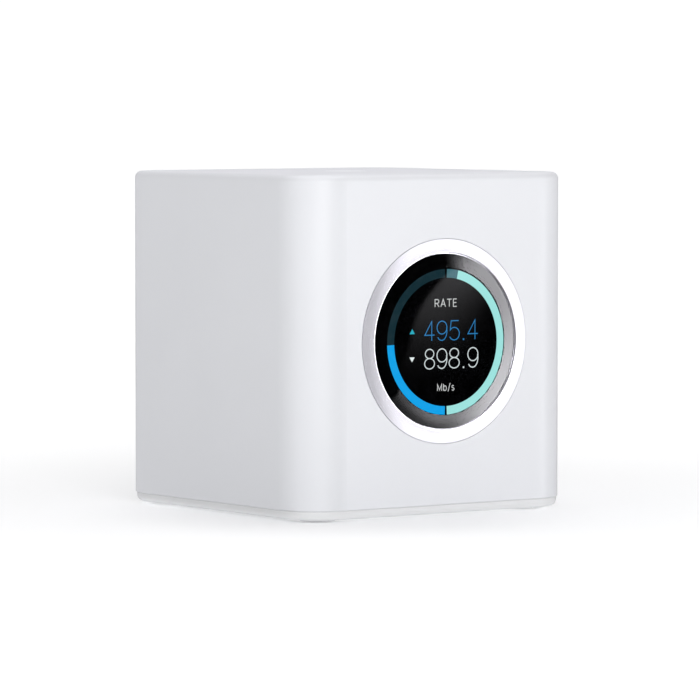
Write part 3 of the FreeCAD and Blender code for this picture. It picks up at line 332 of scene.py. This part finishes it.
def dress_inside():
    screws = moulded("screw_steel", (0.45, 0.46, 0.48), rough=0.32, spread=0.08, vary=0.08, grain=900.0,
                     bump=0.2, depth=0.02, metal=1.0)
    dress(screws, "case_screws", "chassis_screws", "display_screws", "frame_screws", "small_screws")
    dress(moulded("chassis_grey", (0.10, 0.105, 0.115), rough=0.55, spread=0.07, vary=0.05), "chassis")
    boards = moulded("board_green", (0.012, 0.105, 0.045), rough=0.34, spread=0.08, vary=0.12, grain=700.0)
    dress(boards, "main_board", "display_board")
    dress(moulded("board_white", (0.70, 0.71, 0.68), rough=0.35, spread=0.08), "light_board")
    dark = moulded("bracket_black", (0.02, 0.02, 0.022), spread=0.07, vary=0.1)
    dress(dark, "display_bracket", "antenna_carrier", "glass_adhesive")
    dress(moulded("chip_black", (0.018, 0.018, 0.02), rough=0.42, spread=0.08, vary=0.15, grain=2000.0),
          "display_chips", "memory_chips", "switch_chip", "radio_chips")
    finish = moulded("chip_lid", (0.55, 0.56, 0.58), rough=0.35, spread=0.08, vary=0.05, grain=900.0,
                     metal=1.0)
    dress(finish, "processor_chip")
    finish = moulded("pad_blue", (0.10, 0.24, 0.45), rough=0.8, spread=0.1, vary=0.08, grain=800.0,
                     bump=0.4)
    dress(finish, "thermal_pads")
    finish = moulded("heatsink_cast", (0.52, 0.53, 0.55), rough=0.42, spread=0.1, vary=0.05,
                     grain=900.0, bump=0.3, metal=1.0)
    dress(finish, "heatsink")
    dress(moulded("power_grey", (0.06, 0.06, 0.065), spread=0.1, vary=0.1), "power_parts")
    finish = moulded("backlight_white", (0.72, 0.73, 0.75), rough=0.6, spread=0.05, vary=0.02)
    dress(finish, "display_backlight")
    finish = moulded("cone_paper", (0.025, 0.025, 0.026), rough=0.85, spread=0.08, vary=0.2,
                     grain=600.0, bump=0.5)
    dress(finish, "speaker_cone")
    finish = moulded("magnet_grey", (0.14, 0.14, 0.15), rough=0.4, spread=0.08, vary=0.08, metal=0.8)
    dress(finish, "speaker_magnet")
    dress(moulded("antenna_brass", (0.62, 0.45, 0.20), rough=0.3, vary=0.08, grain=900.0, metal=1.0),
          "antennas_long", "antennas_short")
    dress(moulded("coax_jacket", (0.11, 0.115, 0.12), spread=0.08, vary=0.08), "coax_cables")
    dress(moulded("socket_cream", (0.62, 0.56, 0.42), vary=0.05), "lead_sockets")
    dress(moulded("ribbon_film", (0.60, 0.64, 0.70), rough=0.3, vary=0.05), "display_ribbon")
    dress(moulded("lead_red", (0.35, 0.02, 0.015), spread=0.08, vary=0.1), "inner_leads")


# ---------------------------------------------------------------- the picture on the screen
# Screen coordinates are millimetres from the middle of the screen: u to the right and v up, for
# someone who faces the display. A picture is made of flat ribbons and plates.
PICTURE_SHIFT = (0.23, -0.2)  # of the ring of bands from the middle of the glass
PICTURE_Y = -0.06  # the screen is laminated: its picture lies just inside the rear face of the glass
PICTURE_T = 0.02
BAND_INNER_R, BAND_OUTER_R = 18.6, 21.1
BORDER_R = 21.25  # where the printed border under the glass starts
SHARPEST_MITRE = 0.35  # a sharper corner of a stroke is cut short


def screen_point(u, v, layer=0.0):
    y = GLASS_REAR + (PICTURE_Y + layer) * MM
    return Vector((SCREEN_X + u * MM, y, SCREEN_Z + v * MM))


class Drawing:
    """Flat shapes of one colour, gathered into one thin mesh on the screen."""

    def __init__(self):
        self.mesh = bmesh.new()

    def plate(self, outline, near=0.0, far=PICTURE_T):
        """A filled polygon, given anticlockwise as the viewer sees it."""
        front = [self.mesh.verts.new(screen_point(u, v, near)) for u, v in outline]
        rear = [self.mesh.verts.new(screen_point(u, v, far)) for u, v in outline]
        self.mesh.faces.new(front)
        self.mesh.faces.new(rear[::-1])
        for i in range(len(front)):
            j = (i + 1) % len(front)
            self.mesh.faces.new((front[j], front[i], rear[i], rear[j]))

    def ribbon(self, points, width, closed=False):
        """A stroke of constant width along a line of points."""
        count = len(points)
        sides = []
        for i, (u, v) in enumerate(points):
            if closed:
                before, after = points[i - 1], points[(i + 1) % count]
            else:
                before, after = points[max(i - 1, 0)], points[min(i + 1, count - 1)]
            first = Vector((u - before[0], v - before[1]))
            second = Vector((after[0] - u, after[1] - v))
            first = first.normalized() if first.length > 1e-9 else second.normalized()
            second = second.normalized() if second.length > 1e-9 else first
            along = (first + second).normalized()
            reach = width / 2 / max(SHARPEST_MITRE, along.dot(first))
            across = Vector((-along.y, along.x)) * reach
            sides.append(((u + across.x, v + across.y), (u - across.x, v - across.y)))
        rows = []
        for left, right in sides:
            rows.append([self.mesh.verts.new(screen_point(*p, layer)) for p in (left, right)
                         for layer in (0.0, PICTURE_T)])
        last = count if closed else count - 1
        for i in range(last):
            a, b = rows[i], rows[(i + 1) % count]
            self.mesh.faces.new((a[0], a[2], b[2], b[0]))
            self.mesh.faces.new((a[3], a[1], b[1], b[3]))
            self.mesh.faces.new((a[1], a[0], b[0], b[1]))
            self.mesh.faces.new((a[2], a[3], b[3], b[2]))
        if not closed:
            for end in (rows[0], rows[-1]):
                self.mesh.faces.new((end[0], end[1], end[3], end[2]))

    def finish(self, name, material, slot="screen_black"):
        bmesh.ops.recalc_face_normals(self.mesh, faces=self.mesh.faces)
        mesh = bpy.data.meshes.new(name)
        self.mesh.to_mesh(mesh)
        self.mesh.free()
        mesh.materials.append(material)
        piece = bpy.data.objects.new(name, mesh)
        scene.collection.objects.link(piece)
        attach(piece, ROUTER)
        return piece


def arc_points(cu, cv, ru, rv, start, stop, steps=28):
    """Points on an ellipse, from start to stop in degrees anticlockwise from the right."""
    points = []
    for i in range(steps + 1):
        angle = math.radians(start + (stop - start) * i / steps)
        points.append((cu + ru * math.cos(angle), cv + rv * math.sin(angle)))
    return points


def clock_band(drawing, start, stop):
    """A band of the ring, from start to stop in degrees clockwise from the top."""
    cu, cv = PICTURE_SHIFT
    middle = (BAND_INNER_R + BAND_OUTER_R) / 2
    steps = max(2, int(abs(stop - start) / 2))
    ring = arc_points(cu, cv, middle, middle, 90 - start, 90 - stop, steps)
    drawing.ribbon(ring, BAND_OUTER_R - BAND_INNER_R)


# Each digit fills a box and is given as its strokes: the points of each, and whether it closes.
def glyph_4(left, low, width, height):
    stem = left + width * 0.72
    bar = low + height * 0.29
    return [([(left + width, bar), (left + 0.06, bar), (stem, low + height), (stem, low)], False)]


def glyph_9(left, low, width, height):
    radius_u, radius_v = width / 2, height * 0.335
    cu, cv = left + radius_u, low + height - radius_v
    bowl = arc_points(cu, cv, radius_u, radius_v, 0, 360, 40)[:-1]
    tail = arc_points(cu - width * 0.02, low + height * 0.48, width * 0.52, height * 0.48, 22, -90, 24)
    end = arc_points(cu - width * 0.02, low + height * 0.27, width * 0.43, height * 0.27, -90, -158, 12)
    return [(bowl, True), (tail + end[1:], False)]


def glyph_5(left, low, width, height):
    radius_u, radius_v = width * 0.5, height * 0.325
    cu, cv = left + radius_u, low + radius_v
    top = low + height
    bowl = arc_points(cu, cv, radius_u, radius_v, 143, -152, 36)
    return [([(left + width * 0.92, top), (left + width * 0.20, top), *bowl], False)]


def glyph_8(left, low, width, height):
    cu = left + width / 2
    upper_v, lower_v = height * 0.235, height * 0.265
    lower = arc_points(cu, low + lower_v, width / 2, lower_v, 0, 360, 40)[:-1]
    upper = arc_points(cu, low + height - upper_v, width * 0.43, upper_v, 0, 360, 40)[:-1]
    return [(lower, True), (upper, True)]


GLYPHS = {"4": glyph_4, "9": glyph_9, "5": glyph_5, "8": glyph_8}


def draw_number(drawing, text, places, low, height, stroke):
    """Digits with the given left edges and widths. The stroke's width is inside the digit's box."""
    for character, (left, width) in zip(text, places):
        if character == ".":
            right, top = left + width, low + width
            drawing.plate([(left, low), (right, low), (right, top), (left, top)])
            continue
        half = stroke / 2
        strokes = GLYPHS[character](left + half, low + half, width - stroke, height - stroke)
        for points, closed in strokes:
            drawing.ribbon(points, stroke, closed)


# Letters as strokes, in a box that is 1 wide and 1 high.
LETTERS = {
    "R": [[(0.08, 0), (0.08, 1), (0.5, 1), *arc_points(0.55, 0.74, 0.37, 0.26, 90, -90, 10), (0.08, 0.48)],
          [(0.5, 0.48), (0.95, 0)]],
    "A": [[(0.02, 0), (0.5, 1), (0.98, 0)], [(0.18, 0.34), (0.82, 0.34)]],
    "T": [[(0, 1), (1, 1)], [(0.5, 1), (0.5, 0)]],
    "E": [[(0.92, 1), (0.08, 1), (0.08, 0), (0.95, 0)], [(0.08, 0.52), (0.86, 0.52)]],
    "M": [[(0.06, 0), (0.06, 1), (0.5, 0.12), (0.94, 1), (0.94, 0)]],
    "b": [[(0.08, 0), (0.08, 1)], arc_points(0.5, 0.36, 0.42, 0.36, 0, 360, 18)],
    "/": [[(0.05, -0.15), (0.95, 1.1)]],
    "s": [arc_points(0.5, 0.54, 0.34, 0.18, 30, 235, 10) + arc_points(0.5, 0.18, 0.38, 0.18, 70, -155, 12)],
}


def draw_word(drawing, text, widths, left, low, height, gap, stroke):
    """Letters of the given widths, with a gap between them."""
    for character, width in zip(text, widths):
        for points in LETTERS[character]:
            placed = [(left + u * width, low + v * height) for u, v in points]
            drawing.ribbon(placed, stroke)
        left += width + gap


def glow(name, colour, strength):
    """Lit part of the picture: a black, slightly uneven base with its own light."""
    material, tree, shader = new_material(name)
    field = noise(tree, 400.0, 1.0)
    two_tone(tree, shader, field, (0.004, 0.004, 0.004), (0.008, 0.008, 0.008))
    shader.inputs["Roughness"].default_value = 0.6
    shader.inputs["Specular IOR Level"].default_value = 0.0
    shader.inputs["Emission Color"].default_value = (*colour, 1)
    shader.inputs["Emission Strength"].default_value = strength
    return material


def linear(*colour):
    """The scene colour of an sRGB colour whose parts go from 0 to 255, none of them near black."""
    return tuple(((c / 255 + 0.055) / 1.055) ** 2.4 for c in colour)


def make_screen_face():
    """The dark face of the screen and the printed border round it, laminated behind the cover glass."""
    steps = 128
    gap, thickness, margin = 0.01, 0.15, 0.15
    face = Drawing()
    rim = arc_points(0, 0, SCREEN_R / MM, SCREEN_R / MM, 0, 360, steps)[:-1]
    face.plate(rim, PICTURE_T + gap, PICTURE_T + gap + thickness)
    material, tree, shader = new_material("screen_dark")
    field = noise(tree, 250.0)
    two_tone(tree, shader, field, (0.0010, 0.0011, 0.0013), (0.0018, 0.0019, 0.0022))
    roughness_range(tree, shader, field, 0.50, 0.56)
    shader.inputs["Specular IOR Level"].default_value = 0.0
    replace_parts(face.finish("screen_face", material), "touch_sensor")
    border = Drawing()
    middle = (BORDER_R + GLASS_R / MM - margin) / 2
    border.ribbon(arc_points(0, 0, middle, middle, 0, 360, steps)[:-1], 2 * (middle - BORDER_R), True)
    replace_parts(border.finish("glass_border_print", material, "adhesive_black"), "glass_adhesive")


# The ring's bands: name, where they start and stop in degrees clockwise from the top, colour and light
BANDS = (
    ("blue", 181.0, 269.0, (14, 158, 228), 1.1),
    ("teal", 269.0, 359.0, (17, 44, 52), 1.0),
    ("slate", 1.0, 12.3, (66, 112, 122), 1.0),
    ("aqua", 12.3, 179.0, (158, 226, 222), 1.05),
)


def make_picture():
    for name, start, stop, colour, strength in BANDS:
        band = Drawing()
        clock_band(band, start, stop)
        band.finish("screen_band_" + name, glow("lit_" + name, linear(*colour), strength))
    upper = Drawing()
    digits = [(-7.6, 3.87), (-3.09, 3.85), (1.3, 3.97), (6.4, 0.5), (8.08, 3.92)]
    draw_number(upper, "495.4", digits, low=0.15, height=5.85, stroke=0.28)
    upper.finish("screen_number_upper", glow("lit_number_blue", linear(38, 124, 184), 1.05))
    lower = Drawing()
    digits = [(-7.59, 3.87), (-3.12, 3.89), (1.26, 4.02), (6.42, 0.5), (8.09, 4.0)]
    draw_number(lower, "898.9", digits, low=-8.0, height=6.0, stroke=0.31)
    lower.finish("screen_number_lower", glow("lit_number_white", linear(205, 215, 216), 1.1))
    words = Drawing()
    widths = [1.65, 1.75, 1.6, 1.4]
    draw_word(words, "RATE", widths, left=-3.82, low=10.0, height=2.15, gap=0.55, stroke=0.25)
    widths = [1.75, 1.25, 0.85, 1.05]
    draw_word(words, "Mb/s", widths, left=-2.9, low=-14.3, height=1.95, gap=0.45, stroke=0.24)
    words.finish("screen_words", glow("lit_words", linear(205, 208, 208), 1.0))
    mark = Drawing()
    mark.plate([(-12.83, 2.4), (-10.98, 2.4), (-11.9, 3.86)])
    mark.finish("screen_mark_up", glow("lit_mark_teal", linear(40, 170, 190), 1.1))
    mark = Drawing()
    mark.plate([(-12.9, -4.28), (-11.97, -5.69), (-11.04, -4.28)])
    mark.finish("screen_mark_down", glow("lit_mark_white", linear(222, 232, 232), 1.1))


# ---------------------------------------------------------------- room
FLOOR_HALF = 12.0
WHITE = (1.0, 1.0, 1.0)
ROOM_LIGHT = 0.482
BACKDROP_LIGHT = 1.05
MIRRORED_LIGHT = 1.25
MIRRORED_TINT = (0.965, 0.955, 1.0)
DARK_AZIMUTH, DARK_ELEVATION = 37.2, -3.1  # middle of the dark round screen in the room
DARK_R = 17.2


def floor_painted_light_and_shade(tree):
    """The floor's own light, with light and shade painted into it: less of it in a painted soft shadow
    before the router, more of it far away, and most of it beneath the base, a painted glow where the
    glowing ring would light the floor."""
    place = node(tree, "ShaderNodeTexCoord").outputs["Object"]
    far = distance_from(tree, place, (0, 0, 0)).step(0.06, 0.32)
    outside_painted_shadow = distance_from(tree, place, (-0.015, -0.020, 0)).step(0.030, 0.085)
    x, y = axes(tree, place)[:2]
    reach = (abs(x) ** 8 + abs(y) ** 8) ** (1 / 8)
    painted_ring_glow = 1 - reach.step(0.033, 0.049)
    # painted shade and light: less floor light in a soft shadow before the router, and more beneath the
    # base as glow from the ring
    return far * 0.15 + outside_painted_shadow * 0.14 + painted_ring_glow * 0.60 + 0.08


def make_floor():
    mesh = bpy.data.meshes.new("floor")
    signs = [(-1, -1), (1, -1), (1, 1), (-1, 1)]
    mesh.from_pydata([(i * FLOOR_HALF, j * FLOOR_HALF, 0) for i, j in signs], [], [(0, 1, 2, 3)])
    floor = bpy.data.objects.new("floor", mesh)
    scene.collection.objects.link(floor)
    material, tree, shader = new_material("floor_pale")
    two_tone(tree, shader, noise(tree, 3.0), (0.94, 0.94, 0.945), (0.95, 0.95, 0.955))
    shader.inputs["Roughness"].default_value = 0.9
    shader.inputs["Specular IOR Level"].default_value = 0.1
    shader.inputs["Emission Color"].default_value = (*WHITE, 1)
    # the floor's light holds a painted shadow before the router and a painted glow beneath the base
    tree.links.new(floor_painted_light_and_shade(tree).socket, shader.inputs["Emission Strength"])
    # open from below, so that the underside can be looked at
    below = node(tree, "ShaderNodeNewGeometry").outputs["Backfacing"]
    clear = node(tree, "ShaderNodeBsdfTransparent").outputs[0]
    surface = mixed(tree, below, shader.outputs[0], clear)
    tree.links.new(surface, tree.nodes["Material Output"].inputs["Surface"])
    mesh.materials.append(material)
    floor.visible_glossy = False
    floor.visible_transmission = False


def mirrored_room(tree):
    """How bright the room is in each direction, for mirror reflections."""
    x, y, z = axes(tree, node(tree, "ShaderNodeTexCoord").outputs["Generated"])
    azimuth = x.by("ARCTAN2", -y) * math.degrees(1)
    elevation = z.by("ARCSINE") * math.degrees(1)
    # a grey side on the left, a dimmer far side that grazing surfaces mirror, a softbox, a bright ceiling
    grey = (azimuth.step(-172, -150) - azimuth.step(8, 27)) * (1 - elevation.step(20, 50))
    far = (azimuth.step(100, 118) - azimuth.step(168, 180)) * (1 - elevation.step(4, 26))
    softbox = azimuth.step(-105, -80) - azimuth.step(-20, 0)
    ceiling = elevation.step(38, 62)
    room = ceiling * 3.2 + softbox * 1.5 + MIRRORED_LIGHT - (grey * 0.79 + far * 1.05)
    # the dark round screen, which the flat display mirrors to someone at its left front
    right = azimuth - DARK_AZIMUTH
    rise = elevation - DARK_ELEVATION
    spread = (right * right + rise * rise) ** 0.5
    room = room * spread.step(DARK_R, DARK_R + 2.3)
    # a wreath of bright and grey panels before it, which only the curved border of the glass mirrors
    turn = (-right).by("ARCTAN2", -rise) * math.degrees(1)
    bright = turn.step(-180, -146) * 7.5 + turn.step(-120, -62) * 5.2
    dim = turn.step(-62, -2) * 8.7 + turn.step(0, 50) * 2.6
    wreath = (bright - dim) * (1 - turn.step(50, 54))
    fade = 1 - (abs(rise) - right * 0.7).step(2, 15) * 0.72
    band = spread.step(1.1, 2.2) - spread.step(DARK_R - 1.2, DARK_R + 1.3)
    # faint sheen on the upper part of the flat display, up to a slanting edge
    bend = rise.by("MAXIMUM", 0.0).by("MINIMUM", 1.0)
    edge = rise * 0.38 - bend * 0.30 + bend * bend * 0.575 - 0.423
    side = right - edge
    sheen = rise.step(-0.7, 1.0) ** 1.6 * side.step(-0.05, 0.05) * (1 - side.step(0.15, 0.95))
    return room + wreath * fade * band + sheen * 0.95


def background(tree, colour, strength):
    made = node(tree, "ShaderNodeBackground")
    made.inputs["Color"].default_value = (*colour, 1)
    if isinstance(strength, Value):
        tree.links.new(strength.socket, made.inputs["Strength"])
    else:
        made.inputs["Strength"].default_value = strength
    return made.outputs[0]


def make_world():
    """A plain white room. Only mirror reflections show its panels, dark screen and bright ceiling."""
    world = bpy.data.worlds.new("room")
    scene.world = world
    world.use_nodes = True
    tree = world.node_tree
    tree.nodes.clear()
    plain = background(tree, WHITE, ROOM_LIGHT)
    backdrop = background(tree, WHITE, BACKDROP_LIGHT)
    mirrored = background(tree, MIRRORED_TINT, mirrored_room(tree))
    path = node(tree, "ShaderNodeLightPath")
    through = Value(tree, path.outputs["Is Transmission Ray"])
    mirror = Value(tree, path.outputs["Is Glossy Ray"]).by("MAXIMUM", through)
    lit = mixed(tree, mirror.socket, plain, mirrored)
    surface = mixed(tree, path.outputs["Is Camera Ray"], lit, backdrop)
    tree.links.new(surface, node(tree, "ShaderNodeOutputWorld").inputs["Surface"])
    world.cycles.sampling_method = "NONE"


def make_lights():
    """A wide, distant light from above and behind, and a small softbox at the left front."""
    data = bpy.data.lights.new("top_light", "SUN")
    data.angle = math.radians(70)
    data.energy = 0.52
    top = bpy.data.objects.new("top_light", data)
    back = toward(150, 75)
    put(top, back * 2.0, -back)
    top.visible_glossy = False
    data = bpy.data.lights.new("key_light", "AREA")
    data.shape = "SQUARE"
    data.size = 0.25
    data.energy = 1.38
    key = bpy.data.objects.new("key_light", data)
    place = Vector((-0.30, -0.60, 0.22))
    put(key, place, Vector((0, 0, 0.05)) - place)
    key.visible_camera = False


# ---------------------------------------------------------------- all of it
make_camera()
dress_shell()
dress_light_ring()
dress_bezel()
dress_glass()
dress_ports()
dress_inside()
make_screen_face()
make_picture()
make_floor()
make_world()
make_lights()
scene.view_settings.view_transform = "Standard"
scene.view_settings.look = "None"
